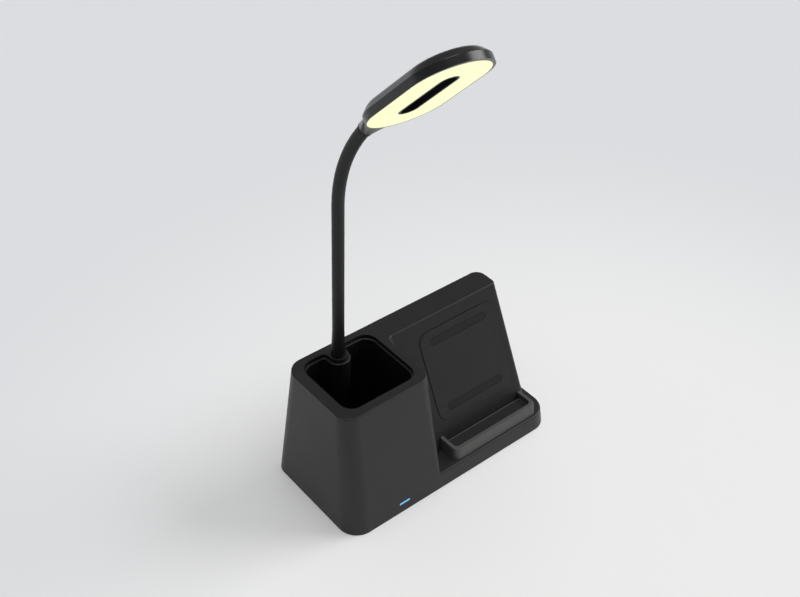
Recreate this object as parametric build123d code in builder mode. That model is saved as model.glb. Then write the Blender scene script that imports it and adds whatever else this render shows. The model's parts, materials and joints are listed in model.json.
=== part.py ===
from build123d import *
import os
from math import atan, cos, degrees, pi, radians, sin, sqrt, tan

# Desk lamp with a pen cup, a bendable neck and a leaning charging stand.
# Millimetres. The origin lies on the table under the middle of the base,
# +X points right as seen from the front, +Y to the rear and +Z up.

# Driving dimensions of the base
body_width = 171.0
body_depth = 83.1
body_height = 90.0
foot_stand = 0.3
wall = 2.2
deck_wall = 2.4
front_lean = 12.9
rear_lean = 9.0
edge_round = 0.8

# Pen cup casing
cup_foot_width = 74.0
cup_left_lean = 4.0
cup_right_lean = 4.3
front_left_low_radius = 13.5
front_left_high_radius = 9.5
rear_left_low_radius = 10.0
rear_left_high_radius = 11.5
cup_front_low_radius = 2.6
cup_front_high_radius = 8.5
hidden_corner_radius = 2.6

# Slab under the stand
slab_height = 11.5
slab_right_lean = 1.0
slab_corner_radius = 14.0
slab_root = 24.0
slab_edge_round = 1.2

# Leaning back of the stand
deck_depth = 17.4
backrest_right_inset = 8.0
backrest_rear_radius = 7.0
backrest_front_radius = 3.0
backrest_root_radius = 4.5

# Pen cup liner
rim_left = 7.2
rim_right = 5.0
rim_front = 6.3
rim_rear = 5.1
rim_corner_radius = 8.5
rim_edge_round = 0.5
liner_wall = 1.2
liner_floor = 1.6
liner_taper = 1.4
liner_floor_height = 13.0
flange_lip = 1.6
rim_ledge = 1.3
flange_thickness = 1.0
tongue_radius = 6.2
tongue_root_radius = 3.2

# Neck
neck_radius = 3.7
sleeve_wall = 0.9
neck_from_left = 33.3
neck_from_rear = 10.5
neck_rise = 108.7
neck_bend_radius = 96.6
neck_bend = 43.4
neck_heading = 10.0
neck_hinges = 8
first_hinge_height = 26.0
last_hinge_before_mouth = 7.0
knuckle_radius = 4.65
ball_radius = 1.7
stalk_radius = 0.8
socket_mouth_radius = 1.15
hinge_swing = 15.0

# Neck foot and its nut
foot_radius = 4.7
foot_rise = 18.0
foot_brim = 1.4
spigot_radius = 2.5
spigot_length = 8.0
nut_radius = 4.2
nut_height = 3.0

# Head
head_length = 76.3
head_width = 44.4
head_rim = 0.8
head_tip = 1.4
head_side = 4.4
head_thickness = 9.3
crown_inset = 4.5
crown_round = 6.0
crease_round = 0.5
head_wall = 1.4
head_roll = 14.8
face_below_neck = 6.1
face_past_bend = 4.6
nose_length = 16.0
nose_mouth_radius = 4.3
nose_reach = 12.0
nose_end_width_share = 0.88
nose_end_height = 4.0
nose_end_thickness = 6.0
slot_length = 44.4
slot_width = 11.8
slot_trim_wall = 0.9
slot_trim_lip = 0.5
diffuser_thickness = 1.6
diffuser_seat = 0.7
led_board_thickness = 1.0
led_board_margin = 3.0
led_gap = 1.2
led_length = 2.8
led_width = 1.8
led_height = 0.7
led_count = 30
head_boss_radius = 1.7
head_screw_radius = 0.8
head_screw_head_radius = 1.5
head_screw_head_height = 0.8
head_screw_length = 4.0
head_screw_reach_share = 0.30
collar_length = 1.0
collar_sink = 8.0

# Tray at the foot of the stand
tray_left_gap = 12.5
tray_right_gap = 10.1
tray_depth = 13.0
tray_height = 8.2
tray_front_inset = 1.85
tray_draft = 1.1
tray_corner_radius = 5.5
tray_edge_round = 0.5
tray_lip_front = 4.1
tray_lip_side = 3.5
tray_pocket_depth = 4.2
tray_pocket_radius = 3.0
tray_pad_thickness = 0.8
tray_pad_margin = 1.2
tray_peg_radius = 2.0
tray_peg_length = 4.0
tray_peg_inset = 11.0

# Charging face and coil
panel_side_gap = 5.2
panel_foot_gap = 15.4
panel_top_gap = 7.9
panel_radius = 8.0
panel_seat = 1.2
panel_proud = 0.4
panel_border = 3.5
grip_inset = 8.0
grip_width = 5.0
grip_thickness = 0.8
coil_bore_share = 0.467
coil_pitch = 1.2
coil_border = 2.5
wire_width = 0.95
ferrite_border = 2.5
ferrite_thickness = 1.2
coil_frame_overlap = 3.0
coil_frame_trim = 4.0
coil_frame_thickness = 2.0
coil_frame_radius = 4.0
coil_screw_side_inset = 3.25
coil_screw_end_inset = 7.0

# Screws that share one size
screw_radius = 1.3
screw_head_radius = 2.4
screw_head_height = 1.4
screw_bite = 4.5
boss_radius = 3.0
boss_web = 1.6

# Bottom plate, feet and ballast
plate_thickness = 2.0
plate_screw_inset_x = 12.0
plate_screw_inset_y = 12.0
liner_boss_spacing = 41.0
pad_radius = 5.5
pad_sink = 1.0
pad_inset_x = 14.0
pad_inset_y = 26.0
ballast_side_gap = 7.5
ballast_thickness = 4.0
ballast_round = 3.0
ballast_front_gap = 7.0
ballast_rear_gap = 8.8
ballast_peg_radius = 1.5

# Electronics
light_bar_from_left = 42.1
light_bar_height = 6.9
light_bar_length = 8.2
light_bar_width = 1.5
light_bar_tail = 0.9
board_width = 24.0
board_thickness = 1.2
board_post = 2.0
board_front_gap = 4.0
board_rear_gap = 0.6
board_screw_inset = 3.0
board_screw_radius = 0.9
board_screw_head_radius = 1.7
board_screw_head_height = 0.9
socket_width = 8.9
socket_height = 3.2
socket_depth = 7.3
socket_wall = 0.3
socket_tongue_width = 6.7
socket_tongue_height = 0.7
socket_recess = 0.5
chip_side = 5.0
chip_height = 1.0
coil_can_side = 6.5
coil_can_height = 3.2
coil_can_round = 1.0
capacitor_radius = 2.5
capacitor_height = 5.5
lamp_led_length = 3.2
lamp_led_width = 1.2
lamp_led_height = 1.4
charger_board_side_gap = 7.5
charger_board_width = 24.0
charger_board_rear_gap = 4.0
touch_width = 14.0
touch_height = 12.0
touch_thickness = 0.3
touch_rise = 9.0

# Clearances
fit_gap = 0.15
seat_gap = 0.05
knuckle_gap = 0.16
ball_gap = 0.07
overrun = 1.0

# Places worked out from the driving dimensions
left = -body_width / 2
right = body_width / 2
front = -body_depth / 2
rear = body_depth / 2
cup_foot_right = left + cup_foot_width
plate_top = foot_stand + plate_thickness
deck_under = body_height - deck_wall
slab_under = slab_height - wall
tray_left = cup_foot_right + tray_left_gap
tray_right = right - tray_right_gap
tray_width = tray_right - tray_left
tray_middle = (tray_left + tray_right) / 2
deck_front = rear - rear_lean - deck_depth
tray_front = front + front_lean * slab_height / body_height + tray_front_inset
tray_rear = tray_front + tray_depth
backrest_lean = degrees(atan((deck_front - tray_rear) / (body_height - slab_height)))


def left_wall(z):
    return left + cup_left_lean * z / body_height


def cup_right_wall(z):
    return cup_foot_right - cup_right_lean * z / body_height


def front_wall(z):
    return front + front_lean * z / body_height


def rear_wall(z):
    return rear - rear_lean * z / body_height


def slab_right_wall(z):
    return right - slab_right_lean * z / slab_height


def backrest_wall(z):
    return deck_front - (body_height - z) * tan(radians(backrest_lean))


def blend(low, high, z):
    return low + (high - low) * z / body_height


def save(piece, label):
    piece.label = label
    export_step(piece, f"parts/{label}.step")


def cylinder_at(place, radius, length, mode=Mode.ADD):
    """A round bar of the given length that starts at a plane and follows its normal."""
    with BuildSketch(place) as section:
        Circle(radius)
    extrude(section.sketch, amount=length, mode=mode)


def box_at(place, length, width, height, radius=0, mode=Mode.ADD):
    """A block with rounded upright edges that starts at a plane and follows its normal."""
    with BuildSketch(place) as section:
        if radius:
            RectangleRounded(length, width, radius)
        else:
            Rectangle(length, width)
    extrude(section.sketch, amount=height, mode=mode)


def cup_section(z, inset):
    """The cup casing's outline at one height, drawn in from its outer walls by an inset."""
    x_low = left_wall(z) + inset
    x_high = cup_right_wall(z) - inset
    y_low = front_wall(z) + inset
    y_high = rear_wall(z) - inset
    corners = [
        ((x_low, y_low), blend(front_left_low_radius, front_left_high_radius, z)),
        ((x_high, y_low), blend(cup_front_low_radius, cup_front_high_radius, z)),
        ((x_high, y_high), hidden_corner_radius),
        ((x_low, y_high), blend(rear_left_low_radius, rear_left_high_radius, z)),
    ]
    with BuildSketch(Plane.XY.offset(z)) as section:
        with BuildLine():
            Polyline(*[point for point, radius in corners], close=True)
        make_face()
        for point, radius in corners:
            fillet(section.vertices().sort_by_distance((*point, 0))[0], max(radius - inset, seat_gap))
    return section.sketch


def slab_section(z, inset):
    """The slab's outline at one height; its left end stays inside the cup."""
    x_low = left + slab_root
    x_high = slab_right_wall(z) - inset
    y_low = front_wall(z) + inset
    y_high = rear_wall(z) - inset
    with BuildSketch(Plane.XY.offset(z)) as section:
        with BuildLine():
            Polyline((x_low, y_low), (x_high, y_low), (x_high, y_high), (x_low, y_high), close=True)
        make_face()
        fillet(section.vertices().group_by(Axis.X)[-1], slab_corner_radius - inset)
    return section.sketch


def backrest_form(inset, bottom, top):
    """The leaning wedge, extruded along X from inside the cup to its right end."""
    lean_inset = inset / cos(radians(backrest_lean))
    start = left + slab_root + inset
    end = right - backrest_right_inset - inset
    with BuildSketch(Plane.YZ.offset(start)) as profile:
        with BuildLine():
            Polyline(
                (rear_wall(bottom) - inset, bottom),
                (rear_wall(top) - inset, top),
                (backrest_wall(top) + lean_inset, top),
                (backrest_wall(bottom) + lean_inset, bottom),
                close=True,
            )
        make_face()
    extrude(profile.sketch, amount=end - start)


# Outer forms of the housing
with BuildPart() as slab_form:
    loft([slab_section(foot_stand, 0), slab_section(slab_height, 0)])
    slab_rim = slab_form.faces().sort_by(Axis.Z)[-1].edges()
    fillet(slab_rim - slab_rim.sort_by(Axis.X)[:1], slab_edge_round)

with BuildPart() as upper_form:
    loft([cup_section(foot_stand, 0), cup_section(body_height, 0)])
    backrest_form(0, foot_stand, body_height)
    end_edges = upper_form.faces().sort_by(Axis.X)[-1].edges()
    fillet(end_edges.sort_by(Axis.Y)[-1], backrest_rear_radius)
    wedge_end = upper_form.faces().sort_by(Axis.X)[-1]
    fillet(wedge_end.edges().sort_by(Axis.Y)[0], backrest_front_radius)
    root_height = body_height / 2
    root_place = (cup_right_wall(root_height), backrest_wall(root_height), root_height)
    fillet(upper_form.edges().sort_by_distance(root_place)[0], backrest_root_radius)
    fillet(upper_form.faces().sort_by(Axis.Z)[-1].edges(), edge_round)

# Inner forms that hollow it out
with BuildPart() as cup_hollow:
    loft([cup_section(foot_stand - overrun, wall), cup_section(deck_under, wall)])

with BuildPart() as slab_hollow:
    loft([slab_section(foot_stand - overrun, wall), slab_section(slab_under, wall)])

with BuildPart() as wedge_hollow:
    backrest_form(wall, foot_stand - overrun, deck_under)

# The pen cup's opening, with the tongue that carries the neck at its rear edge
opening_left = left_wall(body_height) + rim_left
opening_right = cup_right_wall(body_height) - rim_right
opening_front = front_wall(body_height) + rim_front
opening_rear = rear_wall(body_height) - rim_rear
opening_x = (opening_left + opening_right) / 2
opening_y = (opening_front + opening_rear) / 2
neck_x = left_wall(body_height) + neck_from_left
neck_y = rear_wall(body_height) - neck_from_rear


def opening_outline(z, grow):
    """The pen cup's outline at one height, grown outwards all round."""
    width = opening_right - opening_left + 2 * grow
    depth = opening_rear - opening_front + 2 * grow
    tongue = tongue_radius - grow
    root = opening_rear + grow
    with BuildSketch(Plane.XY.offset(z)) as outline:
        with Locations((opening_x, opening_y)):
            RectangleRounded(width, depth, rim_corner_radius + grow)
        with Locations((neck_x, neck_y)):
            Circle(tongue, mode=Mode.SUBTRACT)
        with Locations((neck_x, (neck_y + root) / 2)):
            Rectangle(2 * tongue, root - neck_y, mode=Mode.SUBTRACT)
        roots = outline.vertices().sort_by_distance((neck_x, root, 0))[:2]
        fillet(roots, tongue_root_radius + grow)
    return outline.sketch


liner_outside = liner_wall - rim_ledge
flange_top = deck_under - seat_gap
flange_under = flange_top - flange_thickness

# The leaning charging face and the places on it
panel_low = slab_height + panel_foot_gap
panel_high = body_height - panel_top_gap
panel_middle = (panel_low + panel_high) / 2
panel_width = tray_width - 2 * panel_side_gap
panel_height = (panel_high - panel_low) / cos(radians(backrest_lean))
panel_plane = Plane(
    origin=(tray_middle, backrest_wall(panel_middle), panel_middle),
    x_dir=(1, 0, 0),
    z_dir=(0, -cos(radians(backrest_lean)), sin(radians(backrest_lean))),
)
window_width = panel_width - 2 * panel_border
window_height = panel_height - 2 * panel_border
face_wall_back = -wall
coil_front = -panel_seat - seat_gap
coil_back = coil_front - wire_width
ferrite_back = coil_back - ferrite_thickness
coil_frame_back = ferrite_back - coil_frame_thickness
coil_boss_height = face_wall_back - ferrite_back
ferrite_side = min(window_width, window_height) - 2 * ferrite_border
coil_outer_radius = ferrite_side / 2 - coil_border
coil_inner_radius = coil_bore_share * coil_outer_radius
coil_half_turns = round(2 * (coil_outer_radius - coil_inner_radius) / coil_pitch)
coil_frame_width = panel_width + 2 * coil_frame_overlap
coil_frame_height = panel_height - 2 * coil_frame_trim
coil_screw_x = coil_frame_width / 2 - coil_screw_side_inset
coil_screw_y = coil_frame_height / 2 - coil_screw_end_inset

# The front wall's face, where the light bar shows
light_bar_x = left + light_bar_from_left
front_tilt = atan(front_lean / body_height)
bar_plane = Plane(
    origin=(light_bar_x, front_wall(light_bar_height), light_bar_height),
    x_dir=(1, 0, 0),
    z_dir=(0, -cos(front_tilt), sin(front_tilt)),
)

# The main board lies under the pen cup, from the light bar to the rear socket
board_under = plate_top + board_post
board_top = board_under + board_thickness
board_front = front_wall(board_top) + wall + board_front_gap
board_rear = rear_wall(board_top) - wall - board_rear_gap
board_length = board_rear - board_front
board_y = (board_front + board_rear) / 2
socket_z = board_top + seat_gap + socket_height / 2

# Screw places: four in the housing's bosses, two in the liner's
plate_screw_left = cup_foot_right + plate_screw_inset_x
plate_screw_right = right - plate_screw_inset_x
plate_screw_front = front + plate_screw_inset_y
plate_screw_rear = rear - plate_screw_inset_y
rear_screw_right = plate_screw_right - backrest_right_inset
housing_screws = [
    (plate_screw_left, plate_screw_front),
    (plate_screw_right, plate_screw_front),
    (plate_screw_left, plate_screw_rear),
    (rear_screw_right, plate_screw_rear),
]
liner_screws = [(opening_x + side * liner_boss_spacing / 2, opening_y) for side in (-1, 1)]
peg_y = (tray_front + tray_rear) / 2
tray_pegs = [(tray_left + tray_peg_inset, peg_y), (tray_right - tray_peg_inset, peg_y)]
coil_screws_local = [(side * coil_screw_x, rise * coil_screw_y) for side in (-1, 1) for rise in (-1, 1)]

# Housing: one moulded casing, open below
with BuildPart() as housing:
    add(upper_form.part)
    add(slab_form.part)
    add(cup_hollow.part, mode=Mode.SUBTRACT)
    add(slab_hollow.part, mode=Mode.SUBTRACT)
    add(wedge_hollow.part, mode=Mode.SUBTRACT)
    # Opening above the pen cup liner, which sits under the deck
    extrude(opening_outline(deck_under - overrun, 0), amount=deck_wall + 2 * overrun, mode=Mode.SUBTRACT)
    # Hole for the neck's spigot
    cylinder_at(
        Plane((neck_x, neck_y, deck_under - overrun)),
        spigot_radius + fit_gap,
        deck_wall + 2 * overrun,
        Mode.SUBTRACT,
    )
    # Bosses for the bottom plate's screws
    boss_foot = plate_top + seat_gap
    boss_rise = slab_under + wall / 2 - boss_foot
    for x, y in housing_screws:
        cylinder_at(Plane((x, y, boss_foot)), boss_radius, boss_rise)
        if y > 0:
            web_end = rear_wall(boss_foot) - wall / 2
            box_at(Plane((x, (y + web_end) / 2, boss_foot)), boss_web, web_end - y, boss_rise)
        cylinder_at(Plane((x, y, plate_top)), screw_radius, screw_bite, Mode.SUBTRACT)
    # Seat and window for the charging face, with bosses behind it for the coil frame
    box_at(
        panel_plane.offset(-panel_seat),
        panel_width + 2 * fit_gap,
        panel_height + 2 * fit_gap,
        panel_seat + overrun,
        panel_radius + fit_gap,
        Mode.SUBTRACT,
    )
    box_at(
        panel_plane.offset(-wall - overrun),
        window_width,
        window_height,
        wall + overrun,
        panel_radius - panel_border,
        Mode.SUBTRACT,
    )
    with BuildSketch(panel_plane.offset(ferrite_back + seat_gap)):
        with Locations(*coil_screws_local):
            Circle(boss_radius)
    extrude(amount=coil_boss_height)
    with BuildSketch(panel_plane.offset(ferrite_back)):
        with Locations(*coil_screws_local):
            Circle(board_screw_radius)
    extrude(amount=coil_boss_height + wall / 3, mode=Mode.SUBTRACT)
    # Slot for the light bar and opening for the rear socket
    with BuildSketch(bar_plane.offset(overrun)):
        SlotOverall(light_bar_length + 2 * fit_gap, light_bar_width + 2 * fit_gap)
    extrude(amount=-wall - 2 * overrun, mode=Mode.SUBTRACT)
    box_at(
        Plane(origin=(light_bar_x, rear + overrun, socket_z), x_dir=(1, 0, 0), z_dir=(0, -1, 0)),
        socket_width + 2 * socket_recess,
        socket_height + 2 * socket_recess,
        wall + 3 * overrun,
        socket_height / 2,
        Mode.SUBTRACT,
    )
    # Holes for the tray's pegs
    for x, y in tray_pegs:
        cylinder_at(
            Plane((x, y, slab_under - overrun)), tray_peg_radius + seat_gap, wall + 2 * overrun, Mode.SUBTRACT
        )

# Pen cup liner: tapered well, a flange under the deck and two screw bosses below
with BuildPart() as pen_cup:
    liner_foot = opening_outline(liner_floor_height, liner_outside - liner_taper)
    loft([liner_foot, opening_outline(flange_under, liner_outside)])
    extrude(opening_outline(flange_under, flange_lip), amount=flange_thickness)
    for x, y in liner_screws:
        cylinder_at(
            Plane((x, y, plate_top + seat_gap)), boss_radius, liner_floor_height - plate_top - seat_gap
        )
        cylinder_at(Plane((x, y, plate_top)), screw_radius, screw_bite, Mode.SUBTRACT)
with BuildPart() as pen_well:
    well_foot = opening_outline(liner_floor_height + liner_floor, -rim_ledge - liner_taper)
    loft([well_foot, opening_outline(flange_top, -rim_ledge)])
with BuildPart() as pen_cup_piece:
    add(pen_cup.part)
    add(pen_well.part, mode=Mode.SUBTRACT)
    well_top = pen_cup_piece.faces().sort_by(Axis.Z)[-1]
    fillet(well_top.inner_wires()[0].edges(), rim_edge_round)

# Bottom plate with its foot recesses, screw seats and board posts
board_screws_local = [
    (light_bar_x + side * (board_width / 2 - board_screw_inset), y)
    for side in (-1, 1)
    for y in (board_front + 3 * board_screw_inset, board_rear - 3 * board_screw_inset)
]
pad_places = [
    (left + pad_inset_x, front + pad_inset_x),
    (left + pad_inset_x, rear - pad_inset_x),
    (right - pad_inset_x, front + pad_inset_y),
    (right - pad_inset_x, rear - pad_inset_y),
    (0, 0),
]
charger_board_length = rear_screw_right - plate_screw_left - 2 * charger_board_side_gap
charger_x = (plate_screw_left + rear_screw_right) / 2
charger_y = rear_wall(board_top) - wall - charger_board_rear_gap - charger_board_width / 2
charger_screw_y = charger_y + charger_board_width / 2 - board_screw_inset
charger_posts = [
    (charger_x + side * (charger_board_length / 2 - board_screw_inset), charger_screw_y) for side in (-1, 1)
]
ballast_length = plate_screw_right - plate_screw_left - 2 * ballast_side_gap
ballast_x = (plate_screw_left + plate_screw_right) / 2
ballast_front = front_wall(plate_top) + wall + ballast_front_gap
ballast_rear = charger_y - charger_board_width / 2 - ballast_rear_gap
ballast_width = ballast_rear - ballast_front
ballast_y = (ballast_front + ballast_rear) / 2
ballast_pegs = [(ballast_x + side * ballast_length / 3, ballast_y) for side in (-1, 1)]

with BuildPart() as bottom_plate:
    plate_inset = wall + fit_gap
    loft([cup_section(foot_stand, plate_inset), cup_section(plate_top, plate_inset)])
    loft([slab_section(foot_stand, plate_inset), slab_section(plate_top, plate_inset)])
    for x, y in pad_places:
        cylinder_at(Plane((x, y, foot_stand)), pad_radius + seat_gap, pad_sink, Mode.SUBTRACT)
    for x, y in housing_screws + liner_screws:
        cylinder_at(Plane((x, y, foot_stand)), screw_radius + fit_gap, plate_thickness, Mode.SUBTRACT)
        cylinder_at(
            Plane((x, y, foot_stand)), screw_head_radius + fit_gap, screw_head_height + fit_gap, Mode.SUBTRACT
        )
    for x, y in board_screws_local + charger_posts:
        cylinder_at(Plane((x, y, plate_top)), board_screw_head_radius, board_post)
        cylinder_at(Plane((x, y, plate_top)), board_screw_radius, board_post, Mode.SUBTRACT)
    for x, y in ballast_pegs:
        cylinder_at(Plane((x, y, plate_top)), ballast_peg_radius, ballast_thickness)

with BuildPart() as rubber_feet:
    for x, y in pad_places:
        cylinder_at(Plane((x, y, 0)), pad_radius, foot_stand + pad_sink - seat_gap)

with BuildPart() as plate_screws:
    screw_seat = foot_stand + screw_head_height + fit_gap
    for x, y in housing_screws + liner_screws:
        cylinder_at(Plane((x, y, screw_seat - screw_head_height)), screw_head_radius, screw_head_height)
        cylinder_at(Plane((x, y, screw_seat)), screw_radius, plate_top + screw_bite - screw_seat)

with BuildPart() as ballast:
    box_at(
        Plane((ballast_x, ballast_y, plate_top + seat_gap)),
        ballast_length,
        ballast_width,
        ballast_thickness,
        ballast_round,
    )
    peg_hole = ballast_peg_radius + fit_gap
    for x, y in ballast_pegs:
        cylinder_at(Plane((x, y, plate_top)), peg_hole, ballast_thickness + overrun, Mode.SUBTRACT)

# Tray, its pegs and its pad
tray_top = slab_height + tray_height
pocket_floor = tray_top - tray_pocket_depth
pocket_front = tray_front + tray_lip_front
pocket_rear = backrest_wall(tray_top) + overrun


def tray_section(z, draft):
    """The tray's outline at one height, round in front and square behind."""
    x_low = tray_left + draft
    x_high = tray_right - draft
    y_low = tray_front + draft
    with BuildSketch(Plane.XY.offset(z)) as section:
        with BuildLine():
            Polyline((x_low, pocket_rear), (x_low, y_low), (x_high, y_low), (x_high, pocket_rear), close=True)
        make_face()
        fillet(section.vertices().group_by(Axis.Y)[0], tray_corner_radius - draft)
    return section.sketch


with BuildPart() as phone_tray:
    loft([tray_section(slab_height, 0), tray_section(tray_top, tray_draft)])
    # The back is cut away along the leaning face
    box_at(panel_plane.offset(fit_gap), body_width, 2 * body_height, -tray_depth, mode=Mode.SUBTRACT)
    tray_rim = phone_tray.faces().sort_by(Axis.Z)[-1].edges()
    fillet(tray_rim - tray_rim.sort_by(Axis.Y)[-1:], tray_edge_round)
    with BuildSketch(Plane.XY.offset(pocket_floor)):
        with Locations((tray_middle, (pocket_front + pocket_rear) / 2)):
            RectangleRounded(tray_width - 2 * tray_lip_side, pocket_rear - pocket_front, tray_pocket_radius)
    extrude(amount=tray_pocket_depth, mode=Mode.SUBTRACT)
    for x, y in tray_pegs:
        cylinder_at(Plane((x, y, slab_height - tray_peg_length)), tray_peg_radius, tray_peg_length)

with BuildPart() as tray_pad:
    pad_rear = backrest_wall(pocket_floor) - fit_gap - tray_pad_margin
    pad_front = pocket_front + tray_pad_margin
    box_at(
        Plane((tray_middle, (pad_front + pad_rear) / 2, pocket_floor)),
        tray_width - 2 * tray_lip_side - 2 * tray_pad_margin,
        pad_rear - pad_front,
        tray_pad_thickness,
        tray_pad_margin,
    )


def grip_strips(grow):
    """The outlines of the two soft strips let into the charging face."""
    strip_y = panel_height / 2 - grip_inset
    with BuildSketch(panel_plane.offset(panel_proud - grip_thickness)) as strips:
        with Locations((0, -strip_y), (0, strip_y)):
            SlotOverall(panel_width - 2 * grip_inset + 2 * grow, grip_width + 2 * grow)
    return strips.sketch


# Charging face, grip strips, coil, ferrite and frame
with BuildPart() as backrest_panel:
    box_at(
        panel_plane.offset(-panel_seat + seat_gap),
        panel_width,
        panel_height,
        panel_seat - seat_gap + panel_proud,
        panel_radius,
    )
    extrude(grip_strips(fit_gap), amount=grip_thickness, mode=Mode.SUBTRACT)

with BuildPart() as backrest_pads:
    extrude(grip_strips(0), amount=grip_thickness - seat_gap)

# The coil is one flat spiral of half turns, each a little wider than the last
with BuildPart() as charging_coil:
    coil_plane = panel_plane.offset((coil_front + coil_back) / 2)
    with BuildLine(coil_plane) as coil_path:
        for half_turn in range(coil_half_turns):
            radius = coil_inner_radius + coil_pitch * half_turn / 2
            side = 1 if half_turn % 2 == 0 else -1
            middle = -side * coil_pitch / 4
            CenterArc((middle, 0), radius - coil_pitch / 4, 90 - 90 * side, 180)
    with BuildSketch(Plane(origin=coil_path.wire() @ 0, x_dir=coil_plane.z_dir, z_dir=coil_path.wire() % 0)):
        Rectangle(wire_width, wire_width)
    sweep()

with BuildPart() as ferrite:
    box_at(
        panel_plane.offset(ferrite_back),
        ferrite_side,
        ferrite_side,
        ferrite_thickness - seat_gap,
        coil_frame_radius,
    )

with BuildPart() as coil_frame:
    box_at(
        panel_plane.offset(coil_frame_back),
        coil_frame_width,
        coil_frame_height,
        coil_frame_thickness,
        coil_frame_radius,
    )
    with BuildSketch(panel_plane.offset(coil_frame_back)):
        with Locations(*coil_screws_local):
            Circle(board_screw_radius + fit_gap)
        Circle(coil_inner_radius - coil_pitch)
    extrude(amount=coil_frame_thickness, mode=Mode.SUBTRACT)

with BuildPart() as coil_screws:
    with BuildSketch(panel_plane.offset(coil_frame_back)):
        with Locations(*coil_screws_local):
            Circle(board_screw_head_radius)
    extrude(amount=-board_screw_head_height)
    with BuildSketch(panel_plane.offset(coil_frame_back)):
        with Locations(*coil_screws_local):
            Circle(board_screw_radius)
    extrude(amount=coil_frame_thickness + coil_boss_height)

# Light bar, boards, socket and the touch plate behind the front wall
with BuildPart() as light_bar:
    with BuildSketch(bar_plane):
        SlotOverall(light_bar_length, light_bar_width)
    extrude(amount=-wall - light_bar_tail)

with BuildPart() as main_board:
    box_at(Plane((light_bar_x, board_y, board_under)), board_width, board_length, board_thickness)
    for x, y in board_screws_local:
        cylinder_at(Plane((x, y, board_under)), board_screw_radius + fit_gap, board_thickness, Mode.SUBTRACT)

with BuildPart() as board_screws:
    for x, y in board_screws_local + charger_posts:
        cylinder_at(Plane((x, y, board_top)), board_screw_head_radius, board_screw_head_height)
        cylinder_at(Plane((x, y, plate_top)), board_screw_radius, board_top - plate_top)

lamp_led_y = board_front + lamp_led_width / 2
with BuildPart() as light_bar_led:
    box_at(Plane((light_bar_x, lamp_led_y, board_top)), lamp_led_length, lamp_led_width, lamp_led_height)

with BuildPart() as usb_socket:
    socket_mouth = Plane(
        origin=(light_bar_x, rear_wall(socket_z) - socket_recess, socket_z), x_dir=(1, 0, 0), z_dir=(0, -1, 0)
    )
    box_at(socket_mouth, socket_width, socket_height, socket_depth, socket_height / 2 - socket_wall)
    box_at(
        socket_mouth,
        socket_width - 2 * socket_wall,
        socket_height - 2 * socket_wall,
        socket_depth - socket_wall,
        socket_height / 2 - 2 * socket_wall,
        Mode.SUBTRACT,
    )
    tongue_depth = socket_depth - socket_recess
    box_at(socket_mouth.offset(socket_recess), socket_tongue_width, socket_tongue_height, tongue_depth)

with BuildPart() as board_parts:
    for step, part_x in enumerate((-board_width / 5, board_width / 5)):
        part_y = board_y + (2 * step - 1) * chip_side
        box_at(Plane((light_bar_x + part_x, part_y, board_top)), chip_side, chip_side, chip_height)
        can_x = charger_x + (2 * step - 1) * charger_board_length / 5
        can_y = charger_y - charger_board_width / 4
        can_place = Plane((can_x, can_y, board_top))
        box_at(can_place, coil_can_side, coil_can_side, coil_can_height, coil_can_round)
    cylinder_at(Plane((light_bar_x, board_y + 3 * chip_side, board_top)), capacitor_radius, capacitor_height)
    cylinder_at(Plane((charger_x, charger_y, board_top)), capacitor_radius, capacitor_height)

with BuildPart() as charger_board:
    charger_place = Plane((charger_x, charger_y, board_under))
    box_at(charger_place, charger_board_length, charger_board_width, board_thickness)
    for x, y in charger_posts:
        cylinder_at(Plane((x, y, board_under)), board_screw_radius + fit_gap, board_thickness, Mode.SUBTRACT)

with BuildPart() as touch_plate:
    with BuildSketch(bar_plane.offset(-wall)):
        with Locations((0, touch_rise)):
            Rectangle(touch_width, touch_height)
    extrude(amount=-touch_thickness)

# The neck's centre line: straight up, then a round bend forwards
heading = Vector(sin(radians(neck_heading)), -cos(radians(neck_heading)), 0)
nod_axis = Vector(cos(radians(neck_heading)), sin(radians(neck_heading)), 0)
neck_base = Vector(neck_x, neck_y, body_height)
mouth_bend = radians(neck_bend) - (nose_length - face_past_bend) / neck_bend_radius
mouth_run = neck_rise + neck_bend_radius * mouth_bend


def neck_angle(run):
    return max(0, run - neck_rise) / neck_bend_radius


def neck_point(run):
    angle = neck_angle(run)
    forward = neck_bend_radius * (1 - cos(angle))
    up = min(run, neck_rise) + neck_bend_radius * sin(angle)
    return neck_base + heading * forward + Vector(0, 0, up)


def neck_direction(run):
    angle = neck_angle(run)
    return heading * sin(angle) + Vector(0, 0, cos(angle))


def neck_plane(run):
    return Plane(origin=neck_point(run), x_dir=nod_axis, z_dir=neck_direction(run))


def neck_tube(start, end, radius, mode=Mode.ADD):
    """A round bar that follows the neck's centre line from one run to another."""
    if end > start and start < neck_rise:
        straight = min(end, neck_rise) - start
        cylinder_at(neck_plane(start), radius, straight, mode)
    if end > neck_rise:
        bend_start = max(start, neck_rise)
        middle = (bend_start + end) / 2
        with BuildLine() as bend:
            ThreePointArc(neck_point(bend_start), neck_point(middle), neck_point(end))
        with BuildSketch(neck_plane(bend_start)) as section:
            Circle(radius)
        sweep(section.sketch, path=bend.line, mode=mode)


hinge_step = (mouth_run - last_hinge_before_mouth - first_hinge_height) / (neck_hinges - 1)
hinge_runs = [first_hinge_height + hinge_step * index for index in range(neck_hinges)]
sleeve_bore = neck_radius - sleeve_wall
dish_radius = knuckle_radius + knuckle_gap
socket_radius = ball_radius + ball_gap
stalk_sweep = tan(radians(hinge_swing))
mouth_height = sqrt(socket_radius**2 - socket_mouth_radius**2)
mouth_flare = socket_mouth_radius + (knuckle_radius - mouth_height) * stalk_sweep + fit_gap


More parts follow.
